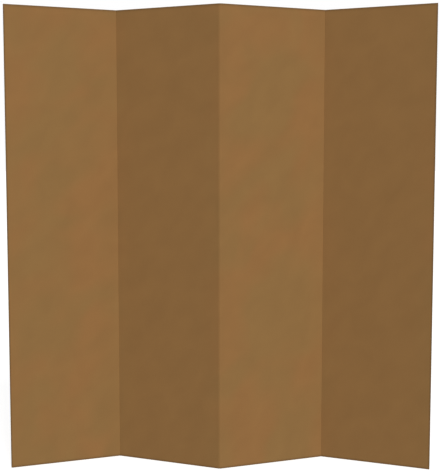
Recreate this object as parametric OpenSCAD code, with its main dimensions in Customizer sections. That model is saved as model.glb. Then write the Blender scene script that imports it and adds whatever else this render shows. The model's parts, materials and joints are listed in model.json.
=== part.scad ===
// Floor screen of double-wall kraft board, scored into four leaves and stood in a zigzag.
//
// The board is one sheet of five glued plies, from front to back: front liner, fine flutes,
// middle liner, coarse flutes and back liner. Every ply runs on through the three folds.
// Here each ply is cut where a fold begins, so that a leaf is rigid and a fold holds only
// the strips that bend.
//
// Millimetres, +Z up. The origin is on the floor under the middle of the screen's outline.
// The front looks along -Y, and leaves and folds are counted from the left as seen from there.
// Folds 1 and 3 close the front faces on each other, and fold 2 closes the back faces.

/* [Screen] */
// Height of the board, from the floor to its top edge
screen_height = 1800; // [900:10:2200]
// Width of a leaf, from one fold plane to the next
leaf_width = 450; // [250:5:600]
// Angle between each leaf and the straight line that the whole screen follows
leaf_turn = 24.4; // [8:0.1:60]
// Width cut off each free edge, so that the outer leaves clear each other when folded in
edge_trim = 1; // [0.5:0.1:5]

/* [Board] */
// Thickness of the front and back liners
face_liner = 0.4; // [0.3:0.05:0.8]
// Thickness of the liner between the two fluted plies
inner_liner = 0.3; // [0.2:0.05:0.6]
// Thickness of the paper that the flutes are made of
flute_paper = 0.25; // [0.15:0.05:0.4]
// Height of the fine flutes, from liner to liner
fine_height = 2.5; // [2:0.1:3.2]
// Spacing of the fine flutes, before it is rounded to fit a leaf
fine_pitch = 6.4; // [5.5:0.1:7.5]
// Height of the coarse flutes, from liner to liner
coarse_height = 3.6; // [3.2:0.1:4.8]
// Spacing of the coarse flutes, before it is rounded to fit a leaf
coarse_pitch = 7.9; // [7:0.1:9.5]

/* [Folds] */
// Distance from a fold's turning line to the faces that close on each other there
closing_gap = 0.15; // [0.1:0.05:0.5]
// Distance from a fold plane to the end of the leaf's own plies
end_gap = 0.15; // [0.1:0.05:0.5]

/* [Hidden] */
LINER_COLOUR = [0.56, 0.42, 0.25];
FLUTE_COLOUR = [0.63, 0.49, 0.32];
ARC_SEGMENTS = 96;

// The plies from front to back: name, depth through the board, and pitch of the flutes
FLAT = 0;
PLIES = [
    ["front_liner", face_liner, FLAT],
    ["fine_flutes", fine_height, fine_pitch],
    ["middle_liner", inner_liner, FLAT],
    ["coarse_flutes", coarse_height, coarse_pitch],
    ["back_liner", face_liner, FLAT]
];
PLY_NUMBERS = [0 : len(PLIES) - 1];
function ply_name(ply) = PLIES[ply][0];
function ply_depth(ply) = PLIES[ply][1];
function ply_pitch(ply) = PLIES[ply][2];
function ply_start(ply) = ply == 0 ? 0 : ply_start(ply - 1) + ply_depth(ply - 1);
board = ply_start(len(PLIES));

LEAVES = [1, 2, 3, 4];
FOLDS = [1, 2, 3];
function leaf_node(leaf, ply) = str("leaf_", leaf, "_", ply_name(ply));
function fold_node(fold, ply) = str("fold_", fold, "_", ply_name(ply));

// Directions on the floor plan: along a leaf to the right, and through it to the back
function leaf_angle(leaf) = leaf % 2 == 1 ? leaf_turn : -leaf_turn;
function along(leaf) = [cos(leaf_angle(leaf)), sin(leaf_angle(leaf))];
function through(leaf) = [-sin(leaf_angle(leaf)), cos(leaf_angle(leaf))];

// A fold turns on an upright line just off the faces that close there: the front faces of its
// two leaves at folds 1 and 3, and the back faces at fold 2
function closes_front(fold) = fold % 2 == 1;
function line_depth(fold) = closes_front(fold) ? -closing_gap : board + closing_gap;
leaf_2_run = leaf_width * along(2) + (board + 2 * closing_gap) * through(2);
function fold_line(fold) = [(fold - 2) * leaf_2_run[0], (closes_front(fold) ? -1 : 1) * leaf_2_run[1] / 2];

// The corner of a leaf on its left fold plane and its front face
function leaf_corner(leaf) =
    leaf == 1
        ? fold_line(1) - leaf_width * along(1) - line_depth(1) * through(1)
        : fold_line(leaf - 1) - line_depth(leaf - 1) * through(leaf);
function left_cut(leaf) = leaf == 1 ? edge_trim : end_gap;
function right_cut(leaf) = leaf == len(LEAVES) ? edge_trim : end_gap;
function ply_width(leaf) = leaf_width - left_cut(leaf) - right_cut(leaf);

// A flute is a wave of straight runs, flat where it is glued to a liner. It starts and ends
// in the middle of a glued flat on the liner in front of it.
FLUTE_TURNS = [22.5 : 45 : 337.5];
function flute_rise(turn) = (1 - cos(turn) / cos(FLUTE_TURNS[0])) / 2;
function flute_line(width, depth, pitch) =
    let (count = round(width / pitch), step = width / count, lift = depth - flute_paper)
    concat(
        [[0, flute_paper / 2]],
        [for (wave = [0 : count - 1], turn = FLUTE_TURNS)
            [(wave + turn / 360) * step, flute_paper / 2 + lift * flute_rise(turn)]],
        [[width, flute_paper / 2]]
    );

// The same line moved sideways by a distance, with each corner mitred
function direction(line, from) =
    let (start = min(max(from, 0), len(line) - 2), run = line[start + 1] - line[start])
    run / norm(run);
function left_side(run) = [-run[1], run[0]];
function moved_line(line, distance) =
    [for (point = [0 : len(line) - 1])
        let (before = direction(line, point - 1), after = direction(line, point),
             mitre = left_side(before + after))
        line[point] + distance / (mitre * left_side(before)) * mitre];
function reversed(list) = [for (item = [len(list) - 1 : -1 : 0]) list[item]];

// Plan of one ply of a leaf, from its left end and its own front
module liner_plan(width, depth) {
    square([width, depth]);
}

module flute_plan(width, depth, pitch) {
    line = flute_line(width, depth, pitch);
    polygon(concat(moved_line(line, flute_paper / 2), reversed(moved_line(line, -flute_paper / 2))));
}

module leaf_ply(leaf, ply) {
    flat = ply_pitch(ply) == FLAT;
    corner = leaf_corner(leaf);
    color(flat ? LINER_COLOUR : FLUTE_COLOUR)
        translate([corner[0], corner[1], 0])
            rotate([0, 0, leaf_angle(leaf)])
                translate([left_cut(leaf), ply_start(ply), 0])
                    linear_extrude(screen_height)
                        if (flat) liner_plan(ply_width(leaf), ply_depth(ply));
                        else flute_plan(ply_width(leaf), ply_depth(ply), ply_pitch(ply));
}

// A strip of one ply, bent round a fold's line from one fold plane to the other. A fluted ply
// is pressed flat there onto the liner in front of it, and is as thin as its paper.
module fold_ply(fold, ply) {
    flat = ply_pitch(ply) == FLAT;
    thickness = flat ? ply_depth(ply) : flute_paper;
    start = ply_start(ply);
    inside = closing_gap + (closes_front(fold) ? start : board - start - thickness);
    first_plane = (closes_front(fold) ? 90 : 270) - leaf_turn;
    line = fold_line(fold);
    color(flat ? LINER_COLOUR : FLUTE_COLOUR)
        translate([line[0], line[1], 0])
            rotate([0, 0, first_plane])
                rotate_extrude(angle = 2 * leaf_turn, $fn = ARC_SEGMENTS)
                    translate([inside, 0])
                        square([thickness, screen_height]);
}

for (leaf = LEAVES, ply = PLY_NUMBERS)
    leaf_ply(leaf, ply);
for (fold = FOLDS, ply = PLY_NUMBERS)
    fold_ply(fold, ply);
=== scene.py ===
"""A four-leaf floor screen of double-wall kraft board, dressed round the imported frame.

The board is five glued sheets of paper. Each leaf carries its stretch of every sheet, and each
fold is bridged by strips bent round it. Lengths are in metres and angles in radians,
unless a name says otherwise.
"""

import json
import logging
import math
from dataclasses import dataclass
from enum import Enum
from typing import Optional, Union

import bpy
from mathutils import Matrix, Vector


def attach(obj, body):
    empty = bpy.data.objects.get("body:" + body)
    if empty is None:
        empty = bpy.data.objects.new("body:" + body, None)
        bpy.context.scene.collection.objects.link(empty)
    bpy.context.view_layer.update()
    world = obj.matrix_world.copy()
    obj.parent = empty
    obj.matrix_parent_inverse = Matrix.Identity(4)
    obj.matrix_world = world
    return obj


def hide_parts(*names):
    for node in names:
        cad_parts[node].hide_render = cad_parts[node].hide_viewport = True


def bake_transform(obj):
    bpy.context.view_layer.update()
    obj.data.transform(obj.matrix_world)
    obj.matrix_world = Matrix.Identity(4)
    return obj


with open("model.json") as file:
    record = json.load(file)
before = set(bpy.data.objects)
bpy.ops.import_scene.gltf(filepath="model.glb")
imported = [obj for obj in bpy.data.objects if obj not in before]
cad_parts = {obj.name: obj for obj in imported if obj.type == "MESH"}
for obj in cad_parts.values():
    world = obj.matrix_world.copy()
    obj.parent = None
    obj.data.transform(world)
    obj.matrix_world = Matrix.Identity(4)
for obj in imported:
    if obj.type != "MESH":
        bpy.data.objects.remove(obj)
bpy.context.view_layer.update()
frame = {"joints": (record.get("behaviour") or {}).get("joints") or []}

MM = 0.001
LOG = logging.getLogger("screen")

# Attributes that the meshes hand to the materials
SHEET = "sheet"  # place on the flat sheet of paper: along it, up it, and which sheet it is
FLUTE = "flute"  # flutes counted from the left end of a leaf
FREE = "free"  # how far from the nearest of the screen's two upright free edges
CUT = "cut"  # 1 on a raw cut end of the paper

# --- Node trees ---


class Socket(Enum):
    """The kinds of value that a tree takes in or gives out."""

    FLOAT = "NodeSocketFloat"
    COUNT = "NodeSocketInt"
    VECTOR = "NodeSocketVector"
    MATERIAL = "NodeSocketMaterial"
    GEOMETRY = "NodeSocketGeometry"


class TreeKind(Enum):
    """The kinds of tree, each with the node that places it in another tree."""

    GEOMETRY = ("GeometryNodeTree", "GeometryNodeGroup")
    SHADER = ("ShaderNodeTree", "ShaderNodeGroup")


@dataclass(frozen=True)
class Signal:
    """The value that one socket gives out, ready for sums."""

    kit: "TreeKit"
    socket: bpy.types.NodeSocket

    def __add__(self, other: "Operand") -> "Signal":
        """Add a number or another signal."""
        return self.kit.math("ADD", self, other)

    def __sub__(self, other: "Operand") -> "Signal":
        """Take away a number or another signal."""
        return self.kit.math("SUBTRACT", self, other)

    def __rsub__(self, other: "Operand") -> "Signal":
        """Take this signal away from a number."""
        return self.kit.math("SUBTRACT", other, self)

    def __mul__(self, other: "Operand") -> "Signal":
        """Multiply by a number or another signal."""
        return self.kit.math("MULTIPLY", self, other)

    def __truediv__(self, other: "Operand") -> "Signal":
        """Divide by a number or another signal."""
        return self.kit.math("DIVIDE", self, other)


Operand = Union[Signal, float]
Feed = Union[Signal, float, int, bool, str, tuple, list, bpy.types.ID]
Feeds = dict[Union[int, str], Feed]


class TreeKit:
    """Adds nodes to one tree and links them."""

    def __init__(self, tree: bpy.types.NodeTree) -> None:
        """Take the tree to work on."""
        self.tree = tree

    @classmethod
    def emptied(cls, owner: Union[bpy.types.Material, bpy.types.World]) -> "TreeKit":
        """Empty the node tree of a material or a world.

        Args:
            owner: The material or the world.
        """
        owner.use_nodes = True
        owner.node_tree.nodes.clear()
        return cls(owner.node_tree)

    def node(
        self, kind: str, feeds: Optional[Feeds] = None, **settings: object
    ) -> bpy.types.Node:
        """Add a node, set it up and feed its inputs.

        Args:
            kind: Blender's name for the type of node.
            feeds: A value or a signal for each input, by the input's name or number.
            settings: Properties of the node itself.

        Returns:
            The new node.
        """
        node = self.tree.nodes.new(kind)
        for name, value in settings.items():
            setattr(node, name, value)
        for key, value in (feeds or {}).items():
            self.feed(node.inputs[key], value)
        return node

    def feed(self, socket: bpy.types.NodeSocket, value: Feed) -> None:
        """Link a signal to a socket, or set a plain value on it.

        Args:
            socket: The input to feed.
            value: What it gets.
        """
        if isinstance(value, Signal):
            self.tree.links.new(value.socket, socket)
        else:
            socket.default_value = value

    def signal(
        self,
        kind: str,
        feeds: Optional[Feeds] = None,
        out: Union[int, str] = 0,
        **settings: object,
    ) -> Signal:
        """Add a node as node does, and give one of its outputs, by name or number."""
        return Signal(self, self.node(kind, feeds, **settings).outputs[out])

    def math(self, operation: str, *operands: Operand) -> Signal:
        """Add a sum of numbers and signals, by Blender's name for the operation."""
        return self.signal("ShaderNodeMath", dict(enumerate(operands)), operation=operation)

    def clamped(self, value: Signal) -> Signal:
        """Keep a signal between 0 and 1."""
        return self.signal("ShaderNodeClamp", {"Value": value})

    def vector(self, x: Operand, y: Operand, z: Operand) -> Signal:
        """Join three values to a vector."""
        return self.signal("ShaderNodeCombineXYZ", {"X": x, "Y": y, "Z": z})

    def parts(self, vector: Signal) -> tuple[Signal, Signal, Signal]:
        """Split a vector into its three values."""
        split = self.node("ShaderNodeSeparateXYZ", {"Vector": vector})
        return tuple(Signal(self, output) for output in split.outputs)

    def turned(self, vector: Signal, angle: Operand) -> Signal:
        """Turn a vector about the Z axis."""
        feeds = {"Vector": vector, "Angle": angle}
        return self.signal("ShaderNodeVectorRotate", feeds, rotation_type="Z_AXIS")

    def attribute(self, name: str, out: str = "Fac") -> Signal:
        """Read one of the mesh's attributes for a material."""
        return self.signal("ShaderNodeAttribute", out=out, attribute_name=name)

    def noise(self, place: Signal, **values: float) -> Signal:
        """Add noise of 0 to 1 at a place in space, with values by Blender's names for them."""
        feeds = {"Vector": place, "Scale": 1.0} | values
        return self.signal("ShaderNodeTexNoise", feeds, noise_dimensions="3D")

    def blended(self, share: Signal, first: Feed, second: Feed) -> Signal:
        """Mix two colours.

        Args:
            share: How much of the second colour.
            first: The first colour.
            second: The second colour.

        Returns:
            The mixed colour.
        """
        node = self.node("ShaderNodeMix", {"Factor": share}, data_type="RGBA")
        colours = (socket for socket in node.inputs if socket.type == "RGBA")
        for socket, colour in zip(colours, (first, second)):
            self.feed(socket, colour)
        return Signal(self, next(socket for socket in node.outputs if socket.type == "RGBA"))


def floats(*names: str) -> dict[str, Socket]:
    """Give a plain number socket for each name."""
    return {name: Socket.FLOAT for name in names}


class Recipe(TreeKit):
    """A tree with named inputs and outputs, for a modifier or to be placed in other trees."""

    def __init__(
        self,
        name: str,
        kind: TreeKind,
        inputs: dict[str, Socket],
        outputs: dict[str, Socket],
    ) -> None:
        """Make the empty tree.

        Args:
            name: The tree's name.
            kind: Whether it makes shapes or shades them.
            inputs: The kind of each named input.
            outputs: The kind of each named output.
        """
        super().__init__(bpy.data.node_groups.new(name, kind.value[0]))
        self.kind = kind
        for side, sockets in (("INPUT", inputs), ("OUTPUT", outputs)):
            for label, socket in sockets.items():
                self.tree.interface.new_socket(label, in_out=side, socket_type=socket.value)
        entry = self.tree.nodes.new("NodeGroupInput")
        self.inputs = {label: Signal(self, entry.outputs[label]) for label in inputs}
        self.exit = self.tree.nodes.new("NodeGroupOutput")

    def close(self, results: dict[str, Signal]) -> None:
        """Lead a signal to each of the tree's outputs, by name."""
        for label, signal in results.items():
            self.feed(self.exit.inputs[label], signal)

    def placed(self, kit: TreeKit, feeds: Feeds) -> dict[str, Signal]:
        node = kit.node(self.kind.value[1], feeds, node_tree=self.tree)
        return {output.name: Signal(kit, output) for output in node.outputs}

    def grown(self, name: str, sizes: dict[str, Feed]) -> bpy.types.Object:
        """Run the tree and keep what it makes as a plain mesh.

        Args:
            name: The name of the new piece.
            sizes: The value of each of the tree's inputs, by name.

        Returns:
            The piece, without a modifier.
        """
        blank = bpy.data.meshes.new(name + "_blank")
        piece = in_scene(name, blank)
        modifier = piece.modifiers.new(name, "NODES")
        modifier.node_group = self.tree
        for item in self.tree.interface.items_tree:
            if item.in_out == "INPUT" and item.name in sizes:
                modifier[item.identifier] = sizes[item.name]
        evaluated = piece.evaluated_get(bpy.context.evaluated_depsgraph_get())
        mesh = bpy.data.meshes.new_from_object(evaluated)
        piece.modifiers.clear()
        piece.data = mesh
        mesh.name = name
        bpy.data.meshes.remove(blank)
        return piece


def in_scene(name: str, data: bpy.types.ID) -> bpy.types.Object:
    """Put an object into the scene.

    Args:
        name: The object's name.
        data: Its mesh, lamp or camera.

    Returns:
        The object, at the origin.
    """
    thing = bpy.data.objects.new(name, data)
    bpy.context.scene.collection.objects.link(thing)
    return thing


# --- Sizes ---


@dataclass(frozen=True)
class Dent:
    """How deep a face is pressed in at an edge, and how far from the edge that reaches."""

    depth: float
    reach: float

    @property
    def slope(self) -> float:
        """Give the steepness of the dent at the edge."""
        return 2 * self.depth / self.reach


@dataclass(frozen=True)
class Edge:
    """An upright edge of a leaf."""

    cut: float  # from the fold plane to the end of the leaf's plies
    front: Dent
    back: Dent


class Run(Enum):
    """Whether a sheet runs flat or in waves."""

    FLAT = "flat"
    WAVES = "waves"


class Ply(Enum):
    """The five sheets of the board, from front to back, by their names in the frame."""

    FRONT_LINER = "front_liner"
    FINE_FLUTES = "fine_flutes"
    MIDDLE_LINER = "middle_liner"
    COARSE_FLUTES = "coarse_flutes"
    BACK_LINER = "back_liner"

    @property
    def number(self) -> int:
        """Give the sheet's number, from 0 at the front."""
        return list(Ply).index(self)


@dataclass(frozen=True)
class PlyMake:
    """What one sheet of the board is."""

    run: Run
    room: float  # how much of the board's thickness it takes
    paper: float  # thickness of its paper
    pitch: float  # spacing of its flutes, or of those that show through it
    relief: float  # how far it sags between the flutes, towards the back
    shares: tuple[float, float]  # how far its two sides follow the back face, from 0 to 1
    leaf_word: str
    fold_word: str
    slot: str


@dataclass(frozen=True)
class Board:
    """The sizes of the folded board, as the frame has them."""

    height: float = 1800 * MM
    leaf_width: float = 450 * MM
    leaf_turn: float = math.radians(24.4)
    edge_trim: float = 1 * MM
    closing_gap: float = 0.15 * MM
    end_gap: float = 0.15 * MM
    face_liner: float = 0.4 * MM
    inner_liner: float = 0.3 * MM
    flute_paper: float = 0.25 * MM
    fine_height: float = 2.5 * MM
    fine_pitch: float = 6.4 * MM
    coarse_height: float = 3.6 * MM
    coarse_pitch: float = 7.9 * MM
    face_sag: float = 0.035 * MM
    groove: Dent = Dent(0.25 * MM, 2.5 * MM)  # where two faces close on each other
    ridge: Dent = Dent(0.35 * MM, 4.0 * MM)  # on the far side of the same fold
    knife: Dent = Dent(0.10 * MM, 2.5 * MM)  # along a cut edge

    def make(self, ply: Ply) -> PlyMake:
        """Give the make of one sheet.

        Args:
            ply: Which sheet.

        Returns:
            Its thickness, flutes and names.
        """
        return {
            Ply.FRONT_LINER: PlyMake(
                Run.FLAT, self.face_liner, self.face_liner, self.fine_pitch, self.face_sag,
                (0.0, 0.0), "front_face", "front_bend", "face_liner",
            ),
            Ply.FINE_FLUTES: PlyMake(
                Run.WAVES, self.fine_height, self.flute_paper, self.fine_pitch, 0.0,
                (0.0, 0.5), "fine_wave", "fine_crease", "flute_paper",
            ),
            Ply.MIDDLE_LINER: PlyMake(
                Run.FLAT, self.inner_liner, self.inner_liner, self.fine_pitch, 0.0,
                (0.5, 0.5), "middle_sheet", "middle_bend", "middle_liner",
            ),
            Ply.COARSE_FLUTES: PlyMake(
                Run.WAVES, self.coarse_height, self.flute_paper, self.coarse_pitch, 0.0,
                (0.5, 1.0), "coarse_wave", "coarse_crease", "flute_paper",
            ),
            Ply.BACK_LINER: PlyMake(
                Run.FLAT, self.face_liner, self.face_liner, self.coarse_pitch, -self.face_sag,
                (1.0, 1.0), "back_face", "back_bend", "face_liner",
            ),
        }[ply]

    def start(self, ply: Ply) -> float:
        """Give the depth from the board's front face to the front of a sheet."""
        return sum(self.make(before).room for before in list(Ply)[: ply.number])

    @property
    def thickness(self) -> float:
        """Give the thickness of the whole board."""
        return sum(self.make(ply).room for ply in Ply)


@dataclass(frozen=True)
class Plan:
    """Where the leaves and folds stand on the floor. Both are numbered from 1 at the left."""

    board: Board
    leaves: int = 4

    def closes_front(self, fold: int) -> bool:
        """Tell whether the front faces close on each other at a fold."""
        return fold % 2 == 1

    def turn(self, leaf: int) -> float:
        """Give the angle between a leaf and the X axis."""
        return self.board.leaf_turn if leaf % 2 == 1 else -self.board.leaf_turn

    def along(self, leaf: int) -> Vector:
        """Give the direction from a leaf's left end to its right end."""
        return Vector((math.cos(self.turn(leaf)), math.sin(self.turn(leaf)), 0))

    def through(self, leaf: int) -> Vector:
        """Give the direction from a leaf's front to its back."""
        return Vector((-math.sin(self.turn(leaf)), math.cos(self.turn(leaf)), 0))

    def line(self, fold: int) -> Vector:
        """Give the foot of a fold's turning line, from the joint of that name."""
        joint = next(j for j in frame["joints"] if j["name"] == f"fold_{fold}")
        return Vector(joint["pos_m"])

    def line_depth(self, fold: int) -> float:
        """Give the depth of a fold's line behind the front face."""
        gap = self.board.closing_gap
        return -gap if self.closes_front(fold) else self.board.thickness + gap

    def corner(self, leaf: int) -> Vector:
        """Give the foot of a leaf's front face on its left fold plane.

        Args:
            leaf: The leaf's number.

        Returns:
            The point on the floor.
        """
        fold = max(leaf - 1, 1)
        point = self.line(fold) - self.line_depth(fold) * self.through(leaf)
        return point if leaf > 1 else point - self.board.leaf_width * self.along(leaf)

    def edge(self, fold: int) -> Edge:
        """Give what an upright edge of a leaf is like.

        Args:
            fold: The fold at that edge, or 0 or the last leaf's number at a free edge.

        Returns:
            The edge.
        """
        board = self.board
        if fold in (0, self.leaves):
            return Edge(board.edge_trim, board.knife, board.knife)
        if self.closes_front(fold):
            return Edge(board.end_gap, board.groove, board.ridge)
        return Edge(board.end_gap, board.ridge, board.groove)

    def bend_radius(self, fold: int, ply: Ply) -> float:
        """Give how far the middle of a sheet is from a fold's line, before it is pressed."""
        middle = self.board.start(ply) + self.board.make(ply).paper / 2
        return abs(middle - self.line_depth(fold))

    def sheet_start(self, leaf: int, ply: Ply) -> float:
        """Give how much of a flat sheet the leaves and bends to the left of a leaf take."""
        radii = sum(self.bend_radius(fold, ply) for fold in range(1, leaf))
        return (leaf - 1) * self.board.leaf_width + radii * 2 * self.board.leaf_turn


# --- Shapes ---

ROWS = 8  # of points up a sheet, half of them in each of the two pressed rims
RIM_STEPS = ROWS // 2 - 1
COLUMNS_PER_WAVE = {Run.FLAT: 6, Run.WAVES: 12}  # a face sags a little over each flute
GLUED_SHARE = 0.07  # how much of a half wave lies flat on a liner at each tip
SHARP_ANGLE = math.radians(40)
NO_FREE_EDGE = 10.0  # stands for the distance where a leaf's end isn't free

# Where the faces of a leaf are pressed in: at its two ends, and at its top and bottom
DENTS = ["Left front", "Left back", "Right front", "Right back", "Rim"]
DENT_INPUTS = [f"{name} {size}" for name in DENTS for size in ("depth", "reach")]


def row_heights(board: Board) -> list[float]:
    """List the heights of the rows, which are closer together at the cut edges."""
    insets = [board.knife.reach * (step / RIM_STEPS) ** 2 for step in range(ROWS // 2)]
    return insets + [board.height - inset for inset in reversed(insets)]


class PressedFaces(Recipe):
    """Tells how far the faces of a leaf are pressed in, at its folds and cut edges."""

    def __init__(self) -> None:
        """Build the tree."""
        super().__init__(
            "Pressed faces",
            TreeKind.GEOMETRY,
            floats("Along", "Up", "Width", "Height", *DENT_INPUTS),
            floats("Front", "Back"),
        )
        along, up = self.inputs["Along"], self.inputs["Up"]
        from_right = self.inputs["Width"] - along
        rim = self.dent(self.math("MINIMUM", up, self.inputs["Height"] - up), "Rim")
        front, back = (
            self.dent(along, f"Left {face}") + self.dent(from_right, f"Right {face}") + rim
            for face in ("front", "back")
        )
        self.close({"Front": front, "Back": back * -1.0})

    def dent(self, distance: Signal, name: str) -> Signal:
        """Give how deep the dent of this name is, at a distance from its edge."""
        share = self.clamped(1.0 - distance / self.inputs[f"{name} reach"])
        return share * share * self.inputs[f"{name} depth"]


class SheetTree(Recipe):
    """Makes one sheet of a leaf, flat or in waves, and stands it on the floor."""

    def __init__(self, run: Run, pressed: PressedFaces) -> None:
        """Build the tree.

        Args:
            run: Whether the sheet is flat or wavy.
            pressed: The tree that tells how far the faces are pressed in.
        """
        inputs = floats(
            "Width", "Height", "Depth", "Room", "Paper", "Relief", "Turn",
            "Front share", "Back share", "Sheet start", "Sheet number",
            "Left free", "Right free", *DENT_INPUTS,
        )
        inputs |= {"Waves": Socket.COUNT, "Corner": Socket.VECTOR, "Material": Socket.MATERIAL}
        outputs = {"Geometry": Socket.GEOMETRY}
        super().__init__(f"Board sheet, {run.value}", TreeKind.GEOMETRY, inputs, outputs)
        self.run = run
        self.pressed = pressed
        waves, width = self.inputs["Waves"], self.inputs["Width"]
        columns = waves * float(COLUMNS_PER_WAVE[run]) + 1.0
        points = {"Vertices X": columns, "Vertices Y": 2, "Vertices Z": ROWS}
        block = self.signal("GeometryNodeMeshCube", points)
        x, side, z = self.parts(self.signal("GeometryNodeInputPosition"))
        share = x + 0.5
        along, up = share * width, self.heights(z + 0.5)
        count = share * waves
        place = self.vector(self.inputs["Sheet start"] + along, up, self.inputs["Sheet number"])
        to_left = along + self.inputs["Left free"]
        to_right = width - along + self.inputs["Right free"]
        for name, domain, kind, value in (
            (CUT, "FACE", "FLOAT", self.cut_ends()),
            (FLUTE, "POINT", "FLOAT", count),
            (SHEET, "POINT", "FLOAT_VECTOR", place),
            (FREE, "POINT", "FLOAT", self.math("MINIMUM", to_left, to_right)),
        ):
            block = self.signal(
                "GeometryNodeStoreNamedAttribute",
                {"Geometry": block, "Name": name, "Value": value},
                domain=domain,
                data_type=kind,
            )
        shift, depth = self.section(count, side, along, up)
        turned = self.turned(self.vector(along + shift, depth, up), self.inputs["Turn"])
        standing = self.signal(
            "ShaderNodeVectorMath", {0: turned, 1: self.inputs["Corner"]}, operation="ADD"
        )
        for kind, feeds in (
            ("GeometryNodeSetPosition", {"Position": standing}),
            ("GeometryNodeRealizeInstances", {}),
            ("GeometryNodeSetMaterial", {"Material": self.inputs["Material"]}),
        ):
            block = self.signal(kind, {"Geometry": block} | feeds)
        self.close({"Geometry": block})

    def cut_ends(self) -> Signal:
        """Tell which faces of the block are cut ends of the paper, not its two sides."""
        _, facing, _ = self.parts(self.signal("GeometryNodeInputNormal"))
        return self.math("LESS_THAN", self.math("ABSOLUTE", facing), 0.5)

    def heights(self, level: Signal) -> Signal:
        """Give the rows' heights, closer together at the cut edges, as row_heights does.

        Args:
            level: How far up the block a point is, from 0 to 1.

        Returns:
            The height above the floor.
        """
        row = level * float(ROWS - 1)
        step = self.math("MINIMUM", row, float(ROWS - 1) - row) / float(RIM_STEPS)
        inset = step * step * self.inputs["Rim reach"]
        upper = self.math("GREATER_THAN", level, 0.5)
        return inset + upper * (self.inputs["Height"] - inset * 2.0)

    def section(
        self, count: Signal, side: Signal, along: Signal, up: Signal
    ) -> tuple[Operand, Signal]:
        """Shape the sheet's cross-section.

        Args:
            count: The number of flutes up to a point.
            side: -0.5 on the sheet's front and 0.5 on its back.
            along: The distance from the left end.
            up: The height.

        Returns:
            How far a point is moved along the leaf, and its depth in the board.
        """
        shared = ["Width", "Height", *DENT_INPUTS]
        feeds = {"Along": along, "Up": up} | {name: self.inputs[name] for name in shared}
        pressed = self.pressed.placed(self, feeds)
        front, back = pressed["Front"], pressed["Back"]
        paper = self.inputs["Paper"]
        near = front + (back - front) * self.inputs["Front share"] + self.inputs["Depth"]
        if self.run is Run.FLAT:
            wave = self.math("COSINE", count * math.tau)
            sag = (1.0 - wave) * self.inputs["Relief"] * 0.5
            return 0.0, near + sag + (side + 0.5) * paper
        far = (
            front
            + (back - front) * self.inputs["Back share"]
            + self.inputs["Depth"]
            + self.inputs["Room"]
        )
        lift = far - near - paper
        phase = self.math("FRACT", count)
        half = 1.0 - self.math("ABSOLUTE", phase * 2.0 - 1.0)
        span = 1.0 - 2 * GLUED_SHARE
        climb = self.clamped((half - GLUED_SHARE) / span)
        rise = climb * climb * (3.0 - climb * 2.0)
        # The rise has a steepness of 6 * climb * (1 - climb), and a wave has two halves
        rate = climb * (1.0 - climb) * (6.0 * 2.0 / span) * self.inputs["Waves"]
        uphill = 1.0 - self.math("GREATER_THAN", phase, 0.5) * 2.0
        slope = rate * lift * uphill / self.inputs["Width"]
        square = side * paper / self.math("SQRT", slope * slope + 1.0)
        return slope * square * -1.0, near + paper * 0.5 + lift * rise + square


def shade_smooth(piece: bpy.types.Object) -> None:
    """Shade a piece smooth, apart from its sharp edges."""
    piece.data.shade_smooth()
    piece.data.set_sharp_from_angle(angle=SHARP_ANGLE)


@dataclass
class Leaf:
    """One stiff leaf of the screen, with its stretch of each of the five sheets."""

    number: int
    plan: Plan
    trees: dict[Run, SheetTree]
    finishes: dict[str, bpy.types.Material]

    @property
    def body(self) -> str:
        """Give the name of the body that the leaf rides on."""
        return f"leaf_{self.number}"

    def edge_sizes(self) -> dict[str, float]:
        """Give the sizes of what is pressed into the leaf's edges.

        Returns:
            The depth and the reach of each dent, by the name of the tree's input.
        """
        left, right = self.plan.edge(self.number - 1), self.plan.edge(self.number)
        dents = (left.front, left.back, right.front, right.back, self.plan.board.knife)
        sizes = (size for dent in dents for size in (dent.depth, dent.reach))
        return dict(zip(DENT_INPUTS, sizes))

    def build(self, ply: Ply) -> bpy.types.Object:
        """Build the leaf's stretch of one sheet.

        Args:
            ply: Which sheet.

        Returns:
            The piece.
        """
        plan, board = self.plan, self.plan.board
        make = board.make(ply)
        left, right = plan.edge(self.number - 1).cut, plan.edge(self.number).cut
        width = board.leaf_width - left - right
        sizes = {
            "Width": width,
            "Height": board.height,
            "Depth": board.start(ply),
            "Room": make.room,
            "Paper": make.paper,
            "Relief": make.relief,
            "Turn": plan.turn(self.number),
            "Front share": make.shares[0],
            "Back share": make.shares[1],
            "Sheet start": plan.sheet_start(self.number, ply) + left,
            "Sheet number": float(ply.number),
            "Left free": 0.0 if self.number == 1 else NO_FREE_EDGE,
            "Right free": 0.0 if self.number == plan.leaves else NO_FREE_EDGE,
            "Waves": round(width / make.pitch),
            "Corner": list(plan.corner(self.number) + left * plan.along(self.number)),
            "Material": self.finishes[make.slot],
        }
        name = f"{self.body}_{make.leaf_word}"
        piece = self.trees[make.run].grown(name, sizes | self.edge_sizes())
        shade_smooth(piece)
        return piece

    def dress(self, piece: bpy.types.Object, ply: Ply) -> None:
        """Put a piece on its body in place of its node.

        Args:
            piece: The piece.
            ply: The sheet that it is a stretch of.
        """
        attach(piece, self.body)
        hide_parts(f"{self.body}_{ply.value}")
        self.plan.board.make(ply).slot


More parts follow.
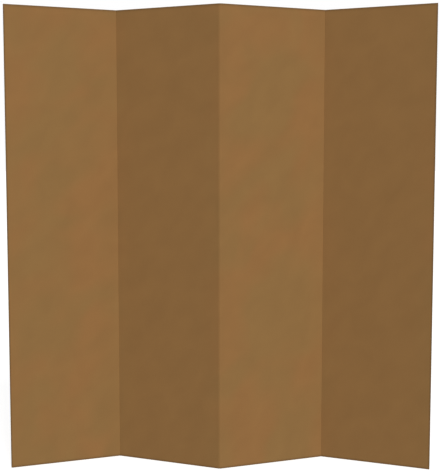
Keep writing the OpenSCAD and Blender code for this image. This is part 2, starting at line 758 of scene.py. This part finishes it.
@dataclass
class Fold:
    """One scored fold, with the strip of each sheet that bends there."""

    number: int
    plan: Plan
    finishes: dict[str, bpy.types.Material]
    steps: int = 28  # short runs that the bend is made of
    end_dip: float = 0.3 * MM  # how far the cut ends draw in at the middle of the bend

    def spine(self, ply: Ply, up: float) -> list[tuple[Vector, Vector, float]]:
        """Lay out the middle line of a strip at one height.

        Args:
            ply: Which sheet.
            up: The height above the floor.

        Returns:
            For each point its place, the direction towards the back of the board, and its
            place along the flat sheet.
        """
        plan, board = self.plan, self.plan.board
        outward = 1.0 if plan.closes_front(self.number) else -1.0
        turn, knife = board.leaf_turn, board.knife
        # How far the sheet is pressed in where the fold begins, and how steeply
        edge, share = plan.edge(self.number), board.make(ply).shares[0]
        depth = (1 - share) * edge.front.depth - share * edge.back.depth
        slope = outward * ((1 - share) * edge.front.slope - share * edge.back.slope)
        rim = max(1 - min(up, board.height - up) / knife.reach, 0) ** 2 * knife.depth
        middle = plan.bend_radius(self.number, ply)
        end = middle + outward * (depth + (1 - 2 * share) * rim)
        radius = end + slope * board.end_gap
        foot = plan.line(self.number) + Vector((0, 0, up))
        start = plan.sheet_start(self.number, ply) + board.leaf_width
        arc = middle * 2 * turn
        bend = []
        for step in range(self.steps + 1):
            swing = turn * (2 * step / self.steps - 1)
            bent = radius + slope * radius * (turn**2 - swing**2) / (2 * turn)
            heading = math.pi / 2 - outward * swing
            back = Vector((math.cos(heading), math.sin(heading), 0))
            bend.append((foot + outward * bent * back, back, start + arc * step / self.steps))
        ends = []
        for leaf, gap, reach in (
            (self.number, -board.end_gap, 0.0),
            (self.number + 1, board.end_gap, arc),
        ):
            place = foot + outward * end * plan.through(leaf) + gap * plan.along(leaf)
            ends.append((place, plan.through(leaf), start + reach + gap))
        return [ends[0], *bend, ends[1]]

    def build(self, ply: Ply) -> bpy.types.Object:
        """Build the strip of one sheet, as a closed skin round its middle line.

        Args:
            ply: Which sheet.

        Returns:
            The piece.
        """
        board = self.plan.board
        make = board.make(ply)
        name = f"fold_{self.number}_{make.fold_word}"
        vertices: list[Vector] = []
        places: list[float] = []
        for up in row_heights(board):
            spine = self.spine(ply, up)
            for column, (point, back, along) in enumerate(spine):
                bow = math.sin(math.pi * column / (len(spine) - 1)) ** 2
                point.z = up + (1 - 2 * up / board.height) * bow * self.end_dip
                for side in (-0.5, 0.5):
                    vertices.append(point + side * make.paper * back)
                    places += [along, point.z, float(ply.number)]
        faces, cuts = self.skin(len(spine))
        mesh = bpy.data.meshes.new(name)
        mesh.from_pydata(vertices, [], faces)
        # A strip is pressed flat, so all of it counts as a flute's glued line
        flutes, free = [0.0] * len(vertices), [NO_FREE_EDGE] * len(vertices)
        for label, kind, domain, field, values in (
            (SHEET, "FLOAT_VECTOR", "POINT", "vector", places),
            (FLUTE, "FLOAT", "POINT", "value", flutes),
            (FREE, "FLOAT", "POINT", "value", free),
            (CUT, "FLOAT", "FACE", "value", cuts),
        ):
            mesh.attributes.new(label, kind, domain).data.foreach_set(field, values)
        mesh.materials.append(self.finishes[make.slot])
        piece = in_scene(name, mesh)
        shade_smooth(piece)
        return piece

    def skin(self, columns: int) -> tuple[list[tuple[int, ...]], list[float]]:
        """List the faces round a strip, each turned outwards.

        Args:
            columns: The number of points along the strip.

        Returns:
            The faces' corners, and 1 for each face that is a cut end.
        """
        front = range(0, 2 * columns, 2)
        ring = [*front, *(corner + 1 for corner in reversed(front))]
        lap = len(ring)
        faces: list[tuple[int, ...]] = []
        cuts: list[float] = []
        for low in range(0, (ROWS - 1) * lap, lap):
            for here, there in zip(ring, ring[1:] + ring[:1]):
                faces.append((low + here, low + there, low + lap + there, low + lap + here))
                cuts.append(float(here // 2 == there // 2))
        for near in front[:-1]:
            under = (near, near + 1, near + 3, near + 2)
            faces += [under, tuple(corner + (ROWS - 1) * lap for corner in reversed(under))]
            cuts += [1.0, 1.0]
        return faces, cuts

    def dress(self, piece: bpy.types.Object, ply: Ply) -> None:
        """Put a strip in place of its node, fixed in the bent shape it was built in.

        Args:
            piece: The strip.
            ply: The sheet that it is a strip of.
        """
        points = self.spine(ply, self.plan.board.height / 2)
        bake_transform(piece)
        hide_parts(f"fold_{self.number}_{ply.value}")
        self.plan.board.make(ply).slot


# --- Finishes ---

Colour = tuple[float, float, float]  # linear red, green and blue
WHITE: Colour = (1.0, 1.0, 1.0)


def opaque(colour: Colour, level: float = 1.0) -> tuple[float, float, float, float]:
    """Give a colour with full cover, multiplied by a level."""
    red, green, blue = (min(part * level, 1.0) for part in colour)
    return red, green, blue, 1.0


class CloudyPulp(Recipe):
    """Slow leaning patches in the paper, lighter and darker, redder and greener.

    The patches lie all over the sheet, but their tint shows only in upright streaks.
    """

    SHEET_STEP = 7.3  # sets the patterns of the five sheets apart
    CLOUD_DETAIL = 3.0
    TINT_DETAIL = 2.0
    ROUGHNESS = 0.45
    DISTORTION = 0.4
    TINT_CONTRAST = 6.0
    STREAK_CONTRAST = 0.9

    def __init__(self) -> None:
        """Build the tree."""
        super().__init__(
            "Cloudy pulp",
            TreeKind.SHADER,
            {"Sheet": Socket.VECTOR}
            | floats("Lean", "Patch", "Tinted patch", "Stretch", "Streak"),
            floats("Cloud", "Warmth"),
        )
        sheet = self.inputs["Sheet"]
        turned = self.turned(sheet, self.inputs["Lean"])
        cloud = self.patches(turned, "Patch", self.CLOUD_DETAIL)
        tinted = self.patches(turned, "Tinted patch", self.TINT_DETAIL)
        tint = self.clamped((tinted - 0.5) * self.TINT_CONTRAST + 0.5) - 0.5
        along, _, _ = self.parts(sheet)
        wave = self.math("SINE", along * math.tau / self.inputs["Streak"])
        streak = self.clamped(wave * self.STREAK_CONTRAST + 0.5)
        self.close({"Cloud": (cloud - 0.5) * 2.0, "Warmth": tint * streak + 0.5})

    def patches(self, turned: Signal, size: str, detail: float) -> Signal:
        """Draw patches of one size.

        Args:
            turned: The place on the sheet, seen along the lean.
            size: The input that says how wide a patch is.
            detail: How many finer layers lie in the patches.

        Returns:
            Their strength, from 0 to 1 and about a half on the whole.
        """
        x, y, z = self.parts(turned)
        wide = self.inputs[size]
        place = self.vector(x / wide, y / (wide * self.inputs["Stretch"]), z * self.SHEET_STEP)
        return self.noise(
            place, Detail=detail, Roughness=self.ROUGHNESS, Distortion=self.DISTORTION
        )


class KraftFibres(Recipe):
    """Long brown fibres that lie mostly across the flutes, with a few darker flecks."""

    LAYERS = ((0.3, 0.0), (-0.35, 4.7), (0.0, 9.1))  # the lean and the seed of each
    SHEET_STEP = 5.3
    DETAIL = 2.0
    ROUGHNESS = 0.6
    CELL_LENGTH = 3.0  # of the cells that hold a fleck each, in lengths of a fibre
    CELL_HEIGHT = 1.2
    CELL_STEP = 3.1
    FLECK_SIZE = 0.16  # in cells
    FLECK_EDGE = 0.08
    FLECK_FROM = 0.45  # how strong the fibres are where flecks start to show
    FLECK_CONTRAST = 5.0
    GRAIN_SIZE = 1.6  # in widths of a fibre
    GRAIN_DETAIL = 1.0

    def __init__(self) -> None:
        """Build the tree."""
        super().__init__(
            "Kraft fibres",
            TreeKind.SHADER,
            {"Sheet": Socket.VECTOR} | floats("Length", "Width"),
            floats("Fibre", "Fleck", "Grain"),
        )
        first, second, level = (self.layer(lean, seed) for lean, seed in self.LAYERS)
        x, y, z = self.parts(self.inputs["Sheet"])
        length = self.inputs["Length"]
        cell = self.vector(
            x / length / self.CELL_LENGTH, y / length / self.CELL_HEIGHT, z * self.CELL_STEP
        )
        from_middle = self.signal("ShaderNodeTexVoronoi", {"Vector": cell, "Scale": 1.0})
        spot = self.clamped((self.FLECK_SIZE - from_middle) / self.FLECK_EDGE)
        shown = self.clamped((level - self.FLECK_FROM) * self.FLECK_CONTRAST)
        fine = self.inputs["Width"] * self.GRAIN_SIZE
        grain = self.noise(self.vector(x / fine, y / fine, z), Detail=self.GRAIN_DETAIL)
        fibre = (first + second + level) / float(len(self.LAYERS))
        self.close({"Fibre": fibre, "Fleck": spot * shown, "Grain": grain})

    def layer(self, lean: float, seed: float) -> Signal:
        """Draw one layer of fibres that lie one way.

        Args:
            lean: The angle that they lie at.
            seed: Sets the layers apart.

        Returns:
            Their strength, from 0 to 1.
        """
        x, y, z = self.parts(self.turned(self.inputs["Sheet"], lean))
        across, up = x / self.inputs["Length"], y / self.inputs["Width"]
        place = self.vector(across, up, z * self.SHEET_STEP + seed)
        return self.noise(place, Detail=self.DETAIL, Roughness=self.ROUGHNESS)


class HandledShadedRim(Recipe):
    """A ragged rim along the board's outer edges, darker partly from wear by the knife and by
    hands and partly as painted shade of the pressed-in edge.
    """

    BLOTS = 260.0  # to a metre, along the ragged inner side of the rim
    DETAIL = 3.0
    ROUGHNESS = 0.6
    REACH = 0.8  # of the rim where the noise is nothing
    RAGGEDNESS = 0.8  # what the noise adds to the reach at most

    def __init__(self) -> None:
        """Build the tree."""
        super().__init__(
            "Handled and shaded rim",
            TreeKind.SHADER,
            {"Sheet": Socket.VECTOR} | floats("Free", "Height", "Level rim", "Upright rim"),
            floats("Mask"),
        )
        sheet = self.inputs["Sheet"]
        _, up, _ = self.parts(sheet)
        from_edge = self.math("MINIMUM", up, self.inputs["Height"] - up)
        share = self.math(
            "MINIMUM",
            from_edge / self.inputs["Level rim"],
            self.inputs["Free"] / self.inputs["Upright rim"],
        )
        ragged = self.noise(
            sheet, Scale=self.BLOTS, Detail=self.DETAIL, Roughness=self.ROUGHNESS
        )
        # The mask marks the darker rim, which is partly wear and partly painted shade
        rim = self.clamped(ragged * self.RAGGEDNESS + self.REACH - share)
        self.close({"Mask": rim * rim})


class PaperGroups:
    """The effects that all the papers share, each built once."""

    def __init__(self) -> None:
        """Build the groups."""
        self.cloud = CloudyPulp()
        self.fibres = KraftFibres()
        self.rim = HandledShadedRim()


@dataclass(frozen=True)
class KraftPaper:
    """The finish of one of the board's papers."""

    slot: str
    tone: Colour
    raw_tone: Colour  # of the cut ends, where the paper's inside shows
    darkest: float = 0.5  # how light the tone gets at a lightness of -0.5
    lightest: float = 1.5  # the same at a lightness of 0.5
    cloud: float = 0.085  # how much lighter or darker the patches are
    tint: float = 0.040  # how much redder or greener they are
    tint_shares: Colour = (1.0, -0.15, -0.15)  # how far red, green and blue follow the tint
    fibre: float = 0.75  # how much lighter or darker the fibres are
    grain: float = 0.20  # the same for the fine grain
    band: float = 0.012  # how much darker the glued lines over the flutes show
    fleck: float = 0.5  # how strongly the flecks show
    fleck_level: float = 0.45  # how light a fleck is, against the tone
    roughness: float = 0.88
    fibre_roughness: float = 0.18
    raw_roughness: float = 0.06  # what a cut end adds
    rim_polish: float = 0.05  # what handling takes away
    sheen_level: float = 0.12  # the specular level of dry uncoated paper
    fibre_length: float = 2.6 * MM
    fibre_width: float = 0.16 * MM
    patch: float = 75 * MM  # width of the lighter and darker patches
    tinted_patch: float = 220 * MM  # width of the redder and greener ones
    streak: float = 900 * MM  # spacing of the upright streaks in which the tint shows
    patch_stretch: float = 1.5  # the length of a patch against its width
    patch_lean: float = math.radians(38)  # to the right of upright, seen from the front
    level_rim: float = 11 * MM  # along the top, where hands take hold, and along the floor
    upright_rim: float = 7 * MM
    # The rim's darker tone is partly handling wear and partly painted shade of the pressed-in
    # edge
    rim_wear_and_shade: float = 0.85  # how far the rim goes towards its duller tone
    shaded_rim_level: float = 0.6  # how light that tone is
    raw: float = 0.7  # how far a cut end goes towards the paper's raw tone
    bump: float = 0.5  # strength of the relief
    bump_height: float = 0.03 * MM  # height of the strongest fibres
    grain_height: float = 0.5  # against the height of the fibres
    fleck_height: float = 0.3

    def material(self, groups: PaperGroups, board: Board) -> bpy.types.Material:
        """Make the material.

        Args:
            groups: The effects that the papers share.
            board: The sizes of the sheet.

        Returns:
            The material.
        """
        material = bpy.data.materials.new(f"kraft_{self.slot}")
        material.diffuse_color = opaque(self.tone)
        kit = TreeKit.emptied(material)
        sheet = kit.attribute(SHEET, "Vector")
        patches = groups.cloud.placed(
            kit,
            {"Sheet": sheet, "Lean": self.patch_lean, "Patch": self.patch,
             "Tinted patch": self.tinted_patch, "Stretch": self.patch_stretch,
             "Streak": self.streak},
        )
        fibres = groups.fibres.placed(
            kit, {"Sheet": sheet, "Length": self.fibre_length, "Width": self.fibre_width}
        )
        worn_and_shaded = groups.rim.placed(
            kit,
            {"Sheet": sheet, "Free": kit.attribute(FREE), "Height": board.height,
             "Level rim": self.level_rim, "Upright rim": self.upright_rim},
        )["Mask"]
        raw = kit.attribute(CUT)
        glued = kit.math("COSINE", kit.attribute(FLUTE) * math.tau)
        lightness = (
            patches["Cloud"] * self.cloud
            + (fibres["Fibre"] - 0.5) * self.fibre
            + (fibres["Grain"] - 0.5) * self.grain
            - glued * self.band
        )
        fresh = self.fresh(kit, patches["Warmth"], lightness)
        dark_fleck, dull_shaded_rim = (
            opaque(self.tone, level) for level in (self.fleck_level, self.shaded_rim_level)
        )
        flecked = kit.blended(fibres["Fleck"] * self.fleck, fresh, dark_fleck)
        # Darken the rim: partly handling wear, partly painted shade where the pressed-in edge
        # turns from the light
        dulled = kit.blended(worn_and_shaded * self.rim_wear_and_shade, flecked, dull_shaded_rim)
        finished = kit.blended(raw * self.raw, dulled, opaque(self.raw_tone))
        roughness = kit.clamped(
            (fibres["Fibre"] - 0.5) * self.fibre_roughness
            + raw * self.raw_roughness
            - worn_and_shaded * self.rim_polish
            + self.roughness
        )
        height = (
            fibres["Fibre"]
            + fibres["Grain"] * self.grain_height
            + fibres["Fleck"] * self.fleck_height
        )
        bump = kit.signal(
            "ShaderNodeBump",
            {"Height": height, "Strength": self.bump, "Distance": self.bump_height},
        )
        surface = kit.signal(
            "ShaderNodeBsdfPrincipled",
            {
                "Base Color": finished,
                "Roughness": roughness,
                "Specular IOR Level": self.sheen_level,
                "Normal": bump,
            },
        )
        kit.node("ShaderNodeOutputMaterial", {"Surface": surface})
        return material

    def fresh(self, kit: TreeKit, warmth: Signal, lightness: Signal) -> Signal:
        """Colour the paper before it is flecked, handled or cut.

        Args:
            kit: The material's kit.
            warmth: From 0 where the paper is greener to 1 where it is redder.
            lightness: From -0.5 where it is darkest to 0.5 where it is lightest.

        Returns:
            The colour.
        """
        greener, redder = (
            tuple(part * (1 + shift * share) for part, share in zip(self.tone, self.tint_shares))
            for shift in (-self.tint, self.tint)
        )
        dark, light = (
            kit.blended(warmth, opaque(greener, level), opaque(redder, level))
            for level in (self.darkest, self.lightest)
        )
        return kit.blended(lightness + 0.5, dark, light)


PAPERS = [
    KraftPaper("face_liner", (0.292, 0.154, 0.0534), (0.42, 0.26, 0.125)),
    KraftPaper("middle_liner", (0.310, 0.175, 0.070), (0.42, 0.26, 0.125), band=0.03),
    KraftPaper(
        "flute_paper", (0.340, 0.200, 0.085), (0.46, 0.31, 0.165),
        band=0.0, fleck=0.6, rim_wear_and_shade=0.0, roughness=0.92,
    ),
]

# --- Studio ---


@dataclass(frozen=True)
class Lamp:
    """A broad far lamp, by its strength and where it hangs."""

    name: str
    strength: float
    azimuth: float  # from the front towards the right
    elevation: float
    size: float = math.radians(22)

    def hang(self) -> None:
        """Hang the lamp, turned towards the screen."""
        lamp = bpy.data.lights.new(self.name, "SUN")
        lamp.energy = self.strength
        lamp.angle = self.size
        flat = math.cos(self.elevation)
        across, away = math.sin(self.azimuth) * flat, -math.cos(self.azimuth) * flat
        towards_lamp = Vector((across, away, math.sin(self.elevation)))
        in_scene(self.name, lamp).rotation_euler = towards_lamp.to_track_quat("Z", "Y").to_euler()


@dataclass(frozen=True)
class Studio:
    """The plain floor, the white surround, the lamps and the camera."""

    floor_half: float = 150.0
    floor_shade: float = 0.40  # how much of the floor's look is the light that falls on it
    floor_glow: float = 0.74  # the rest of it, which makes the open floor white
    floor_light: float = 0.20  # what the floor sends up to the screen
    surround_light: float = 0.289  # what the surround sends to the screen
    surround_look: float = 1.0  # how it looks itself, which is white
    lamps: tuple[Lamp, ...] = (
        Lamp("front_lamp", 2.74, math.radians(18.4), math.radians(38)),
        Lamp("rear_lamp", 1.60, math.radians(203.0), math.radians(20)),
    )
    camera_place: tuple[float, float, float] = (0.0610, -4.3009, 1.2007)
    camera_pitch: float = math.radians(-5.521)
    camera_yaw: float = math.radians(0.823)
    camera_lens: float = 83.265  # focal length in millimetres
    camera_rise: float = 0.0678  # upward shift, because the photograph is cropped

    def build(self) -> None:
        """Build everything that isn't part of the screen."""
        self.build_surround()
        self.build_floor()
        for lamp in self.lamps:
            lamp.hang()
        self.build_camera()
        bpy.context.scene.view_settings.view_transform = "Standard"

    @staticmethod
    def parted(kit: TreeKit, light: Signal, look: Signal) -> Signal:
        """Part the light that something sends out from the look that it has.

        Args:
            light: The shader for rays that light the screen.
            look: The shader for what the camera, a reflection or glass sees.

        Returns:
            Both in one shader.
        """
        path = kit.node("ShaderNodeLightPath")
        camera, glossy, passed = (
            Signal(kit, path.outputs[name])
            for name in ("Is Camera Ray", "Is Glossy Ray", "Is Transmission Ray")
        )
        seen = kit.math("MAXIMUM", kit.math("MAXIMUM", camera, glossy), passed)
        return kit.signal("ShaderNodeMixShader", {0: seen, 1: light, 2: look})

    def build_surround(self) -> None:
        """Build the white surround, which lights the screen softly from all round."""
        world = bpy.data.worlds.new("white_surround")
        bpy.context.scene.world = world
        kit = TreeKit.emptied(world)
        light, look = (
            kit.signal("ShaderNodeBackground", {"Color": opaque(WHITE), "Strength": strength})
            for strength in (self.surround_light, self.surround_look)
        )
        kit.node("ShaderNodeOutputWorld", {"Surface": self.parted(kit, light, look)})

    def build_floor(self) -> None:
        """Build the floor, which is white and keeps a faint shadow."""
        half = self.floor_half
        mesh = bpy.data.meshes.new("studio_floor")
        corners = [(-half, -half, 0), (half, -half, 0), (half, half, 0), (-half, half, 0)]
        mesh.from_pydata(corners, [], [(0, 1, 2, 3)])
        material = bpy.data.materials.new("studio_floor")
        kit = TreeKit.emptied(material)
        light, glow = (
            kit.signal("ShaderNodeEmission", {"Color": opaque(WHITE), "Strength": strength})
            for strength in (self.floor_light, self.floor_glow)
        )
        shade = kit.signal("ShaderNodeBsdfDiffuse", {"Color": opaque(WHITE, self.floor_shade)})
        look = kit.signal("ShaderNodeAddShader", {0: glow, 1: shade})
        kit.node("ShaderNodeOutputMaterial", {"Surface": self.parted(kit, light, look)})
        mesh.materials.append(material)
        in_scene("studio_floor", mesh)

    def build_camera(self) -> None:
        """Place the camera where the photograph was taken from."""
        camera = bpy.data.cameras.new("front_camera")
        camera.lens = self.camera_lens
        camera.shift_y = self.camera_rise
        holder = in_scene("front_camera", camera)
        holder.location = self.camera_place
        holder.rotation_euler = (math.pi / 2 + self.camera_pitch, 0.0, self.camera_yaw)
        bpy.context.scene.camera = holder


def main() -> None:
    """Build the screen leaf by leaf and fold by fold, then the studio round it."""
    logging.basicConfig(level=logging.INFO, format="%(message)s")
    board = Board()
    plan = Plan(board)
    groups = PaperGroups()
    finishes = {paper.slot: paper.material(groups, board) for paper in PAPERS}
    pressed = PressedFaces()
    trees = {run: SheetTree(run, pressed) for run in Run}
    parts: list[Union[Leaf, Fold]] = [
        Leaf(number, plan, trees, finishes) for number in range(1, plan.leaves + 1)
    ]
    parts += [Fold(number, plan, finishes) for number in range(1, plan.leaves)]
    for part in parts:
        for ply in Ply:
            piece = part.build(ply)
            part.dress(piece, ply)
            LOG.info("%s: %d faces", piece.name, len(piece.data.polygons))
    Studio().build()


if __name__ == "__main__":
    main()
